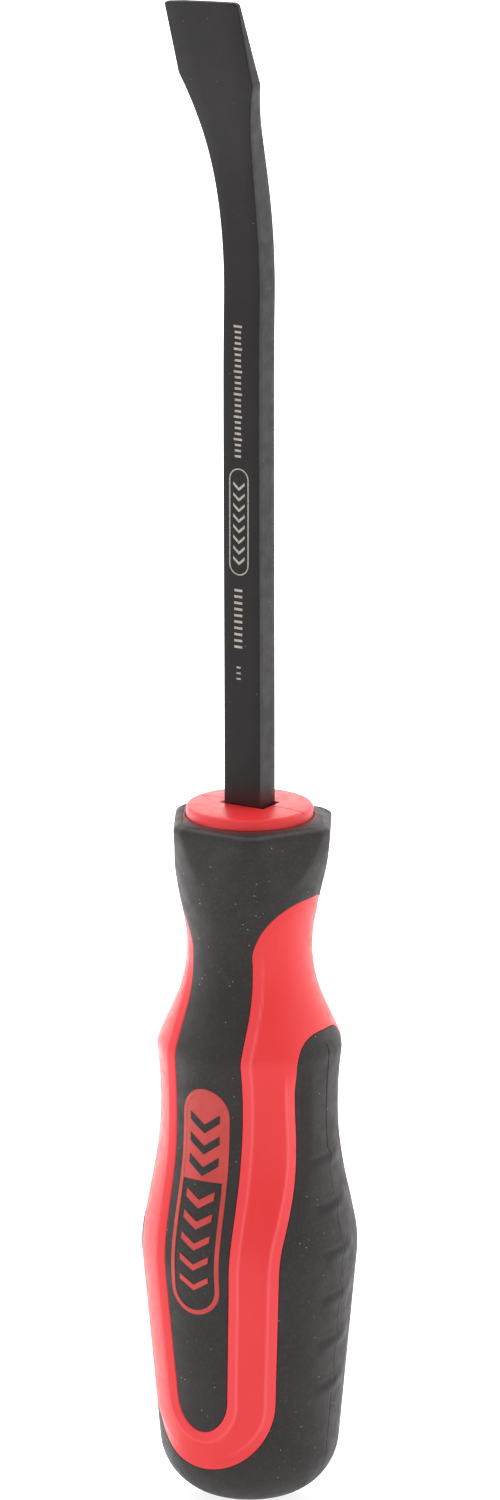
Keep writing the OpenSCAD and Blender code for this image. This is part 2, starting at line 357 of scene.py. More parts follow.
def loft(start, end, near, far, between):
    """Rows of (angle, along) points from start to end: near and far are steps in mm from either end."""
    lift = end[:, 1] - start[:, 1]
    turn = np.radians(end[:, 0] - start[:, 0]) * np.interp((start[:, 1] + end[:, 1]) / 2, ALONG, RADIUS)
    length = np.hypot(lift, turn)[:, None]
    near, far = np.array(near)[None], np.array(far)[None]
    squeeze = np.minimum(1, 0.42 * length / max(near.max(), far.max(), 1e-9))
    first, last = near * squeeze, length - far * squeeze
    middle = np.linspace(0, 1, between + 2)[None, 1:-1]
    places = np.concatenate([first, first[:, -1:] + (last[:, :1] - first[:, -1:]) * middle, last], 1) / length
    return start[:, None] * (1 - places[..., None]) + end[:, None] * places[..., None]


def turn_share(angle):
    """Share of REAR_TURN that applies at an angle."""
    return ease(*TURN_COMES, angle) * (1 - ease(*TURN_GOES, angle))


def angle_of(points):
    return np.degrees(np.arctan2(abs(points[:, 0]), -points[:, 1]))


def turn_rear(points):
    """Behind the side's middle line the seams lie further round to the back, by up to REAR_TURN degrees."""
    shift = np.radians(REAR_TURN) * turn_share(angle_of(points)) * np.sign(points[:, 0])
    shift = shift * (1 - ease(*TURN_FADE, points[:, 2]))
    x, y, z = points.T
    c, s = np.cos(shift), np.sin(shift)
    return np.stack([x * c - y * s, x * s + y * c, z], -1)


def quarters(points, columns, extra):
    """The quarter's points and faces mirrored into all four; no face is left on the planes between them."""
    on_plane = abs(points[:, :2]) < 1e-6
    quads = [q for q in grid_faces(len(points) // columns, columns) if not on_plane[list(q)].all(0).any()]
    vertices, faces = [], []
    for sx in (1, -1):
        for sy in (1, -1):
            start = len(vertices)
            vertices.extend(extra(turn_rear(points * np.array([sx, sy, 1.0]))).tolist())
            faces.extend(tuple(start + i for i in (q if sx * sy > 0 else q[::-1])) for q in quads)
    return vertices, faces


def groove(distance, radius):
    """Depth of a rounded edge at a distance from the seam."""
    d = np.clip(distance, 0, radius)
    return radius - np.sqrt(radius ** 2 - (radius - d) ** 2)


def shell(grid, depth_at, kept=None, skin=SKIN, rim=lambda grid, outside: outside[:, :0], extra=lambda p: p):
    """Closed shell: the grid's outer surface, rim's columns past its last one, an inner surface and the edge.

    The inner surface has the kept columns: every sixth and the last one if none are named.
    """
    rows, columns = grid.shape[:2]
    flat = grid.reshape(-1, 2)
    outside = skin_point(flat[:, 0], flat[:, 1], depth_at(flat)).reshape(rows, -1, 3)
    inner = grid[:, kept or sorted({*range(0, columns, 6), columns - 1})]
    inner = skin_point(inner[..., 0], inner[..., 1], skin)
    loop = np.concatenate([outside, rim(grid, outside), inner[:, ::-1], outside[:, :1]], 1)
    return quarters(loop.reshape(-1, 3), loop.shape[1], extra)


# ---- handle

# Chamfers along the front and the rear seam, and the red plateau's rise between them
CHAMFER_FRONT, CHAMFER_REAR, CHAMFER_DEPTH, BAND_RAISED = 1.35, 1.55, 0.52, 0.46
# Rounding of the red's and the grips' edges, and half the width of the crease at a chamfer's top
RED_EDGE, GRIP_EDGE, CREASE_HALF = 0.1, 0.16, 0.16
# Parting line down the side panels, and the heights that it comes and goes over
LINE_HALF, LINE_DEPTH, LINE_FOOT, LINE_STRONG, LINE_TOP = 0.11, 0.14, (1, 6), (46, 50), 62.5
# Heights over which the relief fades: at the foot, above the belly, for the chamfers at the waist and the
# arch, for the sunk tongue and panel, and for the chamfers' colour; then the height where the bands end
FOOT_FADE, BELLY_FADE, WAIST_FADE, ARCH_FADE = (7, 13), (38, 50), (67, 76), (56.5, 60.5)
TONGUE_FADE, PANEL_FADE, COLOUR_FADE = (66, 77), (56.5, 61), (67, 78)
BAND_TOP = 83


def band_raised(height):
    """How far the red plateau stands over the handle's outline: round the belly, but not above it."""
    return BAND_RAISED * ease(*FOOT_FADE, height) * (1 - ease(*BELLY_FADE, height))


def seam_depth(height):
    """How far both sides of a seam lie below the outline."""
    return CHAMFER_DEPTH * ease(*FOOT_FADE, height) - band_raised(height)


def place_on_skin(flat):
    return skin_point(flat[:, 0], flat[:, 1]), np.interp(flat[:, 1], ALONG, HEIGHT)


def band_depth(flat):
    """The red bands: a plateau with a flat chamfer down to each seam that fades at neck and foot."""
    points, height = place_on_skin(flat)
    to_front, to_rear = seam_distance(points, FRONT_SEAM), seam_distance(points, REAR_SEAM)
    depth = groove(np.minimum(to_front, to_rear), RED_EDGE) - band_raised(height)
    front_share = (1 - 0.8 * ease(*WAIST_FADE, height)) * ease(*FOOT_FADE, height)
    rear_share = (1 - 0.85 * ease(*ARCH_FADE, height)) * ease(*FOOT_FADE, height)
    sides = (to_front, CHAMFER_FRONT, front_share), (to_rear, CHAMFER_REAR, rear_share)
    for distance, width, share in sides:
        fall = np.clip(1 - distance / width, -0.2, 1)
        soft = (fall + np.sqrt(fall ** 2 + 0.002)) / 2
        depth = depth + CHAMFER_DEPTH * share * soft
    return depth


def front_depth(flat):
    """The front grip: its tongue lies below the red bands, and its collar stands just over the red neck."""
    points, height = place_on_skin(flat)
    sink = seam_depth(height) * (1 - ease(*TONGUE_FADE, height))
    return groove(seam_distance(points, FRONT_SEAM), GRIP_EDGE) + sink


def rear_depth(flat):
    """The side panels: sunk along the seam, with a fine parting line down the middle."""
    points, height = place_on_skin(flat)
    distance = seam_distance(points, REAR_SEAM)
    sink = seam_depth(height) * (1 - ease(0, 2.6, distance)) * (1 - 0.7 * ease(*PANEL_FADE, height))
    offside = np.radians(90 - flat[:, 0]) * np.interp(flat[:, 1], ALONG, RADIUS)
    strength = (0.3 + 0.7 * ease(*LINE_STRONG, height)) * ease(*LINE_FOOT, height) * (height <= LINE_TOP)
    line = np.clip(1 - abs(offside) / LINE_HALF, 0, 1)
    return groove(distance, GRIP_EDGE) + sink + LINE_DEPTH * strength * line


# Angles round a quarter of a circle, without its start
QUARTER = np.radians(np.arange(1, 8) * 90 / 7)


def collar_rim(grid, outside):
    """Columns over the collar's rounded rim and in to the disc; rows below it stay on the middle line."""
    on_rim = grid[:, -1, 1] > along_at(RIM_FOOT) - 0.01
    last = outside[:, -1]
    radius = np.hypot(last[:, 0], last[:, 1])
    unit = last[:, :2] / radius[:, None]
    steps = [(RIM_R * (1 - math.cos(a)), RIM_R * math.sin(a)) for a in QUARTER]
    steps += [(RIM_R + 0.05, RIM_R + 0.05), (RIM_R + 0.14, RIM_R + 0.05), (RIM_R + 0.22, RIM_R - 0.02)]
    columns = [np.hstack([unit * (radius - inward)[:, None], last[:, 2:] + up]) for inward, up in steps]
    for out, up in ((0.16, 0.25), (0.06, 0.1), (-0.1, -2)):
        columns.append(np.hstack([unit * (DISC_R + out), np.full((len(last), 1), COLLAR_TOP + up)]))
    made = np.stack(columns, 1)
    return np.where(on_rim[:, None, None], made, last[:, None])


def lean_collar(points):
    """The soft collar sits a little off the axis, more towards its rim, which is lower at the back."""
    r, z = np.hypot(points[:, 0], points[:, 1]), points[:, 2]
    share = ease(*LEAN_HEIGHTS, z) * ease(DISC_R + 0.1, DISC_R + 1.2, r)
    rear = ease(0, 0.6, points[:, 1] / np.maximum(r, 1)) * ease(DISC_R + 0.2, RIM_HALF, r)
    droop = REAR_DROOP * rear * np.clip((z - RIM_FOOT) / RIM_R, 0, 1)
    return points + np.stack([share * COLLAR_LEAN[0], share * COLLAR_LEAN[1], -droop], -1)


# The side panels' ribs, the last value being their slope in degrees
RIB_LOW, RIB_PITCH, RIB_COUNT = 17.2, 6.1, 6
RIB_LENGTH, RIB_WIDTH, RIB_RISE, RIB_SLOPE = 7.2, 3.8, 0.42, 7


def rib_places(points):
    """For each rib, every point's place along and across it, in half lengths and half widths."""
    slope = math.radians(RIB_SLOPE)
    for z in RIB_LOW + RIB_PITCH * np.arange(RIB_COUNT):
        y, up = points[:, 1], points[:, 2] - z
        along = (y * math.cos(slope) + up * math.sin(slope)) / (RIB_LENGTH / 2)
        across = (-y * math.sin(slope) + up * math.cos(slope)) / (RIB_WIDTH / 2)
        yield along, across


def raise_ribs(points):
    """Lens-shaped ribs that follow the side panels round and rise a little towards the back."""
    r = np.hypot(points[:, 0], points[:, 1])
    outer = r > radius_at(points[:, 2]) - 0.6
    rise = np.zeros(len(points))
    for along, across in rib_places(points):
        # Steep on the upper flank and long on the lower one
        across = np.where(across > 0, across * 2.4, across)
        lens = np.clip(1 - along ** 2, 0, 1) * np.clip(1 - across ** 2, 0, 1) ** 1.5
        rise = np.maximum(rise, RIB_RISE * lens)
    outward = points * (1, 1, 0) / np.maximum(r, 1e-6)[:, None]
    return points + np.where(outer, rise, 0)[:, None] * outward


def point_places(piece):
    """Every point of a piece, in millimetres."""
    co = np.zeros(len(piece.data.vertices) * 3)
    piece.data.vertices.foreach_get("co", co)
    return co.reshape(-1, 3) / MM


def store(piece, **shares):
    """Stores a share for every point under each name, for the material."""
    for name, values in shares.items():
        layer = piece.data.attributes.new(name, "FLOAT", "POINT")
        layer.data.foreach_set("value", values.astype(np.float32))


def mark_ribs(piece):
    """Stores each point's share of the painted highlight along a rib's upper edge and of the painted shade in
    the hollow below it.
    """
    points = point_places(piece)
    edge, hollow = np.zeros(len(points)), np.zeros(len(points))
    for along, across in rib_places(points):
        lens = np.clip(1 - along ** 2, 0, 1)
        # The upper edge's share is for a painted highlight, the hollow's share for painted shade.
        edge = np.maximum(edge, np.sqrt(lens) * np.exp(-((across - 0.3) / 0.14) ** 2))
        hollow = np.maximum(hollow, lens * np.exp(-((across + 0.3) / 0.4) ** 2))
    store(piece, rib_edge=edge, rib_hollow=hollow)


def front_grip():
    grid = loft(FRONT_SEAM, FRONT_SPINE, EDGE_STEPS, [0], 16)
    return make_mesh("front_grip_moulding", *shell(grid, front_depth, rim=collar_rim, extra=lean_collar))


def rear_grip():
    grid = loft(REAR_SEAM, REAR_SPINE, EDGE_STEPS, LINE_STEPS, 22)

    def pole(_, outside):
        """Columns across the small flat under the butt, on the rows that end at it."""
        last = outside[:, -1]
        at_foot = last[:, 2] < 0.1
        inwards = [np.where(at_foot[:, None], last * (k, k, 1), last) for k in (0.75, 0.4, 0.12)]
        return np.stack(inwards + [np.where(at_foot[:, None], 0.0, last)], 1)

    piece = make_mesh("rear_grip_moulding", *shell(grid, rear_depth, rim=pole, extra=raise_ribs))
    mark_ribs(piece)
    return piece


def red_bands():
    grid = loft(REAR_SEAM, FRONT_SEAM, EDGE_STEPS, EDGE_STEPS[::-1], 12)
    return shell(grid, band_depth, [0, grid.shape[1] // 2, -1], SKIN + 0.2)


# The core's hidden body: its sides, the height of its foot, its end below the disc's top, and its gap to the
# grips; then the disc's depth, the mouth round the bar with its depth, and the parting line on the disc
CORE_SIDES, CORE_FOOT, CORE_END, CORE_GAP = 144, 3.2, 7.5, 0.05
DISC_DEPTH, MOUTH_GAP, MOUTH_DEPTH, PARTING_DEPTH = 5, (0.5, 0.06), 1.8, 0.13


def turned_core(start):
    """The core's hidden body and the bolster disc, with the bar's mouth in its top."""
    top = DISC_EDGE + DISC_RAISED
    heights = np.linspace(CORE_FOOT, DISC_TOP - CORE_END, 90)
    outline = [(0.01, CORE_FOOT)] + list(zip(radius_at(heights) - SKIN - CORE_GAP, heights))
    disc_start = len(outline) + 1
    outline += [(DISC_R, DISC_EDGE - DISC_DEPTH), (DISC_R, DISC_EDGE - DISC_ROUND)]
    for a in QUARTER:
        outline.append((DISC_R - DISC_ROUND * (1 - math.cos(a)), DISC_EDGE - DISC_ROUND * (1 - math.sin(a))))
    outline += [(6.8, DISC_EDGE + DISC_RAISED * 0.5), (5.6, DISC_EDGE + DISC_RAISED * 0.85), (4.2, top)]
    near_line = [math.radians(side + turn) for side in (90, 270) for turn in (-1.3, -0.7, 0.7, 1.3)]
    angles = np.sort(np.concatenate([np.arange(CORE_SIDES) * 2 * math.pi / CORE_SIDES, near_line]))
    rings = [[(r * math.sin(a), -r * math.cos(a), z) for a in angles] for r, z in outline]
    half_x, half_y = BAR_HALF_W + MOUTH_GAP[0], -BAR_FRONT + MOUTH_GAP[1]
    corner = math.atan2(half_x, half_y)
    mouth_angles = angles.copy()
    for target in (corner, math.pi - corner, math.pi + corner, 2 * math.pi - corner):
        mouth_angles[np.argmin(abs(angles - target))] = target
    mouth = []
    for a in mouth_angles:
        reach = min(half_x / max(abs(math.sin(a)), 1e-9), half_y / max(abs(math.cos(a)), 1e-9))
        mouth.append((reach * math.sin(a), -reach * math.cos(a)))
    for grow, drop in ((1.1, 0), (1.03, 0.02), (1.0, 0.1), (1.0, MOUTH_DEPTH), (0.01, MOUTH_DEPTH)):
        rings.append([(x * grow, y * grow, top - drop) for x, y in mouth])
    # The moulds' parting line runs across the disc's top
    for ring in rings[disc_start:]:
        for k, (x, y, z) in enumerate(ring):
            if abs(math.cos(angles[k])) < 0.001 and z > DISC_EDGE - DISC_ROUND:
                ring[k] = (x, y, z - PARTING_DEPTH)
    return [v for ring in rings for v in ring], prism_faces(len(rings), len(angles), start)


def handle_core():
    vertices, faces = red_bands()
    more, more_faces = turned_core(len(vertices))
    piece = make_mesh("handle_core_moulding", vertices + more, faces + more_faces)
    mark_chamfers(piece)
    return piece


def unturned(points):
    """The points folded into the first quarter, with turn_rear undone."""
    angle = angle_of(points)
    before = np.linspace(0, 180, 721)
    after = before + REAR_TURN * turn_share(before)
    share = 1 - ease(*TURN_FADE, points[:, 2])
    turn = np.radians(angle + share * (np.interp(angle, after, before) - angle))
    r = np.hypot(points[:, 0], points[:, 1])
    return np.stack([r * np.sin(turn), -r * abs(np.cos(turn)), points[:, 2]], -1)


def mark_chamfers(piece):
    """Stores on each point of the red bands whether it lies on a chamfer, and on its crease; the material
    paints both lighter as highlights.
    """
    folded = unturned(point_places(piece))
    height = folded[:, 2]
    low = ease(*FOOT_FADE, height)
    chamfer, crease = np.zeros(len(folded)), np.zeros(len(folded))
    on_band = (np.hypot(folded[:, 0], folded[:, 1]) > radius_at(height) - SKIN * 0.6) & (height < BAND_TOP)
    sides = (FRONT_SEAM, CHAMFER_FRONT, COLOUR_FADE), (REAR_SEAM, CHAMFER_REAR, PANEL_FADE)
    for line, width, fade in sides:
        share = 1 - ease(*fade, height)
        distance = np.full(len(folded), FAR)
        distance[on_band] = seam_distance(folded[on_band], line)
        chamfer = np.maximum(chamfer, share * low * (1 - ease(width - 0.12, width + 0.1, distance)))
        crease = np.maximum(crease, share * low * np.exp(-((distance - width) / CREASE_HALF) ** 2))
    store(piece, chamfer=chamfer, crease=crease)


# ---- badge

BADGE_LOW, BADGE_HIGH, BADGE_HALF = 27.6, 57.4, 3.6
BADGE_RIM, BADGE_PROUD, BADGE_SUNK = 0.62, 0.1, 0.5


def tongue_point(x, z, lift):
    """Point over the front tongue at a place (x, height), lifted along the surface's normal."""
    angle = math.degrees(math.asin(x / float(radius_at(z))))
    return skin_point(np.array([angle]), along_at(np.array([z])), seam_depth(z) - lift)[0]


def pill(half, low, high, count=18, straight=28):
    """Ring of points round a pill, anticlockwise from its lower right."""
    up, down = np.linspace(low + half, high - half, straight), np.linspace(high - half, low + half, straight)
    over, under = np.linspace(0, math.pi, count), np.linspace(math.pi, 2 * math.pi, count)
    ring = [(half, z) for z in up[:-1]]
    ring += [(half * math.cos(a), high - half + half * math.sin(a)) for a in over]
    ring += [(-half, z) for z in down[1:-1]]
    return ring + [(half * math.cos(a), low + half + half * math.sin(a)) for a in under[:-1]]


def badge_ring(vertices, faces):
    """The badge's raised outline."""
    rows = [(0, -BADGE_SUNK), (0, BADGE_PROUD - 0.06), (0.06, BADGE_PROUD), (BADGE_RIM - 0.06, BADGE_PROUD),
            (BADGE_RIM, BADGE_PROUD - 0.06), (BADGE_RIM, -BADGE_SUNK)]
    start = len(vertices)
    for inset, lift in rows:
        ring = pill(BADGE_HALF - inset, BADGE_LOW + inset, BADGE_HIGH - inset)
        vertices.extend(tongue_point(x, z, lift) for x, z in ring)
    faces.extend(tube_faces(len(rows), len(ring), start))


def strip_over(lower, upper, proud, vertices, faces):
    """A raised strip over the tongue between two rows of (x, height) points, with softened upper edges."""
    ring = list(lower) + list(upper)[::-1]
    other = list(upper) + list(lower)[::-1]
    count, half = len(ring), len(lower)
    start = len(vertices)
    for inset, lift in ((0, -BADGE_SUNK), (0, proud - 0.04), (0.04, proud)):
        for (x, z), (ox, oz) in zip(ring, other):
            size = max(math.hypot(ox - x, oz - z), 1e-6)
            vertices.append(tongue_point(x + (ox - x) * inset / size, z + (oz - z) * inset / size, lift))
    faces.extend(grid_faces(3, count, start, wrap=True))
    top = start + 2 * count
    for k in range(half - 1):
        faces.append((top + k, top + k + 1, top + count - 2 - k, top + count - 1 - k))
        faces.append((start + k + 1, start + k, start + count - 1 - k, start + count - 2 - k))


def chevrons(row, proud, vertices, faces):
    """A row of chevrons down the badge, their points downwards."""
    top, pitch, half, drop, thicks = row
    across = np.linspace(-half, half, 17)
    for k, thick in enumerate(thicks):
        lower = [(x, top - k * pitch - drop * (1 - abs(x) / half)) for x in across]
        strip_over(lower, [(x, h + thick) for x, h in lower], proud, vertices, faces)


# The foot of the badge's solid part
PLATE_FOOT = 45.3
# Chevrons below it in the ring, and in black on it: top one's height, pitch, half width, drop and thicknesses
RING_CHEVRONS = (PLATE_FOOT - 2.3, 2.7, 2.1, 1.25, (1.1, 1.0, 0.9, 0.85, 0.8))
BLACK_CHEVRONS = (53.0, 2.8, 2.25, 1.5, (1.15, 1.15, 1.15))


def badge_plate(vertices, faces):
    """The badge's solid upper part, out to the raised outline."""
    half = BADGE_HALF - BADGE_RIM * 0.5
    crown = BADGE_HIGH - BADGE_RIM * 0.5 - half
    across = half * np.sin(np.linspace(-math.pi / 2, math.pi / 2, 33))
    upper = [(x, crown + math.sqrt(max(half ** 2 - x ** 2, 0))) for x in across]
    levels = [[(x, PLATE_FOOT + (z - PLATE_FOOT) * up) for x, z in upper] for up in np.linspace(0, 1, 13)]
    start, count = len(vertices), len(across)
    for lift, order in ((BADGE_PROUD * 0.55, levels), (-BADGE_SUNK, levels[::-1])):
        for level in order:
            vertices.extend(tongue_point(x, z, lift) for x, z in level)
    rows = 2 * len(levels)
    faces.extend(grid_faces(rows, count, start))
    last = start + (rows - 1) * count
    faces.append(tuple(range(start, start + count)) + tuple(range(last, last + count))[::-1])
    for side in (0, count - 1):
        edge = [start + r * count + side for r in range(rows)]
        for k in range(rows // 2 - 1):
            quad = (edge[k], edge[k + 1], edge[rows - 2 - k], edge[rows - 1 - k])
            faces.append(quad if side else quad[::-1])


def badge_inlay():
    vertices, faces = [], []
    badge_ring(vertices, faces)
    badge_plate(vertices, faces)
    chevrons(RING_CHEVRONS, BADGE_PROUD, vertices, faces)
    return make_mesh("badge_outline_and_chevrons", vertices, faces)


def badge_strokes():
    """Black chevrons that stand on the badge's solid part."""
    vertices, faces = [], []
    chevrons(BLACK_CHEVRONS, BADGE_PROUD + 0.02, vertices, faces)
    return make_mesh("badge_black_strokes", vertices, faces)


# ---- bar

def bar_section(z):
    """The bar at a height: half widths to left and right, front and back faces, and corner radius."""
    s = z - BEND_Z
    lean = 0 if s <= 0 else s * s / (2 * BEND_R) if s < BEND_H else (
        BEND_H ** 2 / (2 * BEND_R) + (s - BEND_H) * BEND_H / BEND_R)
    halves = []
    for drop in KNEE_DROPS:
        share = min(1, max(0, s / (TIP_Z - drop - BEND_Z)))
        halves.append(BAR_HALF_W + (BLADE_HALF_W - BAR_HALF_W) * share ** FLARE_POWER)
    thick = float(np.interp(z, THICKNESS_LINE[:, 1], THICKNESS_LINE[:, 0]))
    front = BAR_FRONT - lean
    side = BAR_LEAN * ease(*LEAN_COMES, z) * (1 - ease(*LEAN_GOES, z))
    return halves[0] - side, halves[1] + side, front, front + thick, min(BAR_CORNER, thick * 0.2)


def bar_ring(z):
    """Closed ring round the bar: rounded corners, with a few points along each face."""
    left, right, front, back, corner = bar_section(z)
    corner = max(0.02, min(corner, (back - front) / 2 - 0.01))
    ring = []
    spots = [(right, front, -90), (right, back, 0), (-left, back, 90), (-left, front, 180)]
    for x, y, begin in spots:
        cx, cy = x - math.copysign(corner, x), y + corner if y == front else y - corner
        for k in range(5):
            a = math.radians(begin + 22.5 * k)
            ring.append((cx + corner * math.cos(a), cy + corner * math.sin(a)))
    full = []
    for k, p in enumerate(ring):
        full.append(p)
        if k % 5 == 4:
            q = ring[(k + 1) % len(ring)]
            full += [(p[0] + (q[0] - p[0]) * t, p[1] + (q[1] - p[1]) * t) for t in (0.25, 0.5, 0.75)]
    tilt = ease(TIP_Z - 9, TIP_Z, z)
    return [(x, y, z + tilt * (TIP_LIFT + TIP_SLOPE * x - TIP_BULGE * x * x)) for x, y in full]


def pry_bar():
    heights = np.concatenate([
        np.linspace(TANG_FOOT, DISC_TOP - 6, 12), np.linspace(DISC_TOP - 4, BEND_Z - 4, 40),
        np.linspace(BEND_Z - 2, TIP_Z - 1, 110),
    ])
    rings = [bar_ring(z) for z in heights]
    for k in range(1, 7):
        a = math.radians(15 * k)
        inset = TIP_CORNER * (1 - math.cos(a))
        rings.append([
            (x - math.copysign(min(inset, abs(x)), x) * ease(3.5, 5.2, abs(x)), y, z)
            for x, y, z in bar_ring(TIP_Z - TIP_CORNER * (1 - math.sin(a)))
        ])
    # The ground edge is drawn in a little and closed across its thickness
    middle = np.mean(rings[-1], axis=0)[1]
    rings.append([(x, y + (middle - y) * 0.35, z + 0.06) for x, y, z in rings[-1]])
    vertices = [v for ring in rings for v in ring]
    faces = prism_faces(len(rings), len(rings[0]))
    for k in (0, 1):
        add_wing(WING_Z - k * WING_PITCH, vertices, faces)
    return make_mesh("forged_bar", vertices, faces, sharp=50)


def add_wing(middle, vertices, faces, cut=0.4):
    """One flat wing of the tang, with chamfered upright edges."""
    x, y, z = WING_HALF
    right = [(x - cut, -y), (x, -y + cut), (x, y - cut), (x - cut, y)]
    outline = right + [(-px, py) for px, py in right[::-1]]
    start = len(vertices)
    for level in (middle - z, middle + z):
        vertices.extend((px, py, level) for px, py in outline)
    faces.extend(prism_faces(2, len(outline), start))


MARK_PROUD, MARK_SUNK = 0.02, 0.1
# Columns of plain ticks: how many, the top one's height, pitch, middle, half width, that of every fourth
# from the top one on, and half height
TICKS = [(24, 156.4, 0.74, -0.55, 0.46, 0.62, 0.15), (10, 121.7, 0.83, -0.5, 0.6, 0.6, 0.16),
         (3, 111.5, 0.75, -0.45, 0.3, 0.3, 0.11)]
# The lozenge: its middle, ends, half width and line; its chevrons: how many, the top one's height and pitch,
# and the half gap, reach, drop and thickness of an arm
LOZENGE_X, LOZENGE_LOW, LOZENGE_HIGH, LOZENGE_HALF, LOZENGE_LINE = -0.4, 123.7, 137.8, 1.45, 0.16
ARMS, ARM_TOP, ARM_PITCH, ARM_GAP, ARM_REACH, ARM_DROP, ARM_THICK = 8, 135.6, 1.4, 0.01, 0.85, 0.75, 0.4


def face_mark(outline, vertices, faces):
    """A thin plate on the bar's front face: outline is a convex ring of (x, height) points."""
    start = len(vertices)
    for lift in (-MARK_SUNK, MARK_PROUD):
        vertices.extend((x, bar_section(z)[2] - lift, z) for x, z in outline)
    faces.extend(prism_faces(2, len(outline), start))


def etched_marks():
    """Light generic marks on the shank's front: columns of plain ticks and a lozenge of chevrons."""
    vertices, faces = [], []
    for count, top, pitch, middle, half_w, fourth_w, half_h in TICKS:
        for k in range(count):
            w, z = half_w if k % 4 else fourth_w, top - k * pitch
            corners = [(-w, -half_h), (w, -half_h), (w, half_h), (-w, half_h)]
            face_mark([(middle + across, z + up) for across, up in corners], vertices, faces)
    lozenge(vertices, faces)
    for k in range(ARMS):
        z = ARM_TOP - k * ARM_PITCH
        for side in (-1, 1):
            inner, outer = LOZENGE_X + side * ARM_GAP, LOZENGE_X + side * ARM_REACH
            low = z - ARM_DROP
            arm = [(outer, z), (inner, low), (inner, low + ARM_THICK), (outer, z + ARM_THICK)]
            face_mark(arm[::-side], vertices, faces)
    return make_mesh("etched_marks", vertices, faces)


def lozenge(vertices, faces):
    """Thin pill-shaped line on the front face."""
    start = len(vertices)
    corners = ((0, -MARK_SUNK), (0, MARK_PROUD), (LOZENGE_LINE, MARK_PROUD), (LOZENGE_LINE, -MARK_SUNK))
    for inset, lift in corners:
        ring = pill(LOZENGE_HALF - inset, LOZENGE_LOW + inset, LOZENGE_HIGH - inset, count=12, straight=8)
        vertices.extend((x + LOZENGE_X, bar_section(z)[2] - lift, z) for x, z in ring)
    faces.extend(tube_faces(len(corners), len(ring), start))


# ---- materials

class Tree:
    """Small helper for building a node tree."""

    def __init__(self, tree):
        self.nodes, self.links = tree.nodes, tree.links

    def node(self, kind, **settings):
        made = self.nodes.new("ShaderNode" + kind)
        for key, value in settings.items():
            setattr(made, key, value)
        return made

    def split(self, vector):
        node = self.node("SeparateXYZ")
        self.links.new(vector, node.inputs[0])
        return node.outputs

    def ramp(self, value, low, high, out_low=0.0, out_high=1.0):
        node = self.node("MapRange", interpolation_type="SMOOTHSTEP")
        for key, number in (("From Min", low), ("From Max", high), ("To Min", out_low), ("To Max", out_high)):
            node.inputs[key].default_value = number
        self.links.new(value, node.inputs["Value"])
        return node.outputs["Result"]

    def math(self, operation, a, b=0.0):
        node = self.node("Math", operation=operation)
        for socket, value in zip(node.inputs, (a, b)):
            if isinstance(value, (int, float)):
                socket.default_value = value
            else:
                self.links.new(value, socket)
        return node.outputs["Value"]

    def both(self, a, b):
        return self.math("MULTIPLY", a, b)

    def lobes(self, direction, level, rows):
        """The level plus strengths near some directions, each faded from the narrow to the wide cosine."""
        for turn, tilt, wide, narrow, strength in rows:
            node = self.node("VectorMath", operation="DOT_PRODUCT")
            node.inputs[1].default_value = back_vector(turn, tilt)
            self.links.new(direction, node.inputs[0])
            level = self.math("ADD", level, self.ramp(node.outputs["Value"], wide, narrow, 0, strength))
        return level


class Shader(Tree):
    """A material whose pattern is measured in millimetres."""

    def __init__(self, name):
        self.material = bpy.data.materials.new(name)
        self.material.use_nodes = True
        super().__init__(self.material.node_tree)
        self.surface = self.nodes["Principled BSDF"]
        self.place = self.scaled(self.node("TexCoord").outputs["Object"], (1000, 1000, 1000))

    def scaled(self, vector, scale):
        node = self.node("Mapping")
        node.inputs["Scale"].default_value = scale
        self.links.new(vector, node.inputs["Vector"])
        return node.outputs["Vector"]

    def set(self, **values):
        for key, value in values.items():
            self.surface.inputs[key.replace("_", " ")].default_value = value

    def noise(self, scale, detail=3.0, roughness=0.5, stretch=None):
        node = self.node("TexNoise")
        for key, value in (("Scale", scale), ("Detail", detail), ("Roughness", roughness)):
            node.inputs[key].default_value = value
        self.links.new(self.scaled(self.place, stretch) if stretch else self.place, node.inputs["Vector"])
        return node.outputs["Fac"]

    def cloud(self, scale, detail, low=0.0, high=1.0):
        return self.ramp(self.noise(scale, detail), 0.3, 0.7, low, high)

    def cells(self, scale):
        node = self.node("TexVoronoi")
        node.inputs["Scale"].default_value = scale
        self.links.new(self.place, node.inputs["Vector"])
        return node.outputs["Distance"]

    def attribute(self, name):
        return self.node("Attribute", attribute_name=name).outputs["Fac"]

    def mix(self, factor, a, b):
        node = self.node("Mix", data_type="RGBA")
        self.links.new(factor, node.inputs["Factor"])
        for key, value in (("A", a), ("B", b)):
            socket = [s for s in node.inputs if s.name == key and s.type == "RGBA"][0]
            if isinstance(value, tuple):
                socket.default_value = (*value, 1)
            else:
                self.links.new(value, socket)
        return [s for s in node.outputs if s.type == "RGBA"][0]

    def colour(self, value):
        self.links.new(value, self.surface.inputs["Base Color"])

    def roughness(self, value):
        self.links.new(value, self.surface.inputs["Roughness"])

    def bump(self, height, distance, strength=1.0):
        node = self.node("Bump")
        node.inputs["Strength"].default_value = strength
        node.inputs["Distance"].default_value = distance * MM
        self.links.new(height, node.inputs["Height"])
        if self.surface.inputs["Normal"].is_linked:
            self.links.new(self.surface.inputs["Normal"].links[0].from_socket, node.inputs["Normal"])
        self.links.new(node.outputs["Normal"], self.surface.inputs["Normal"])


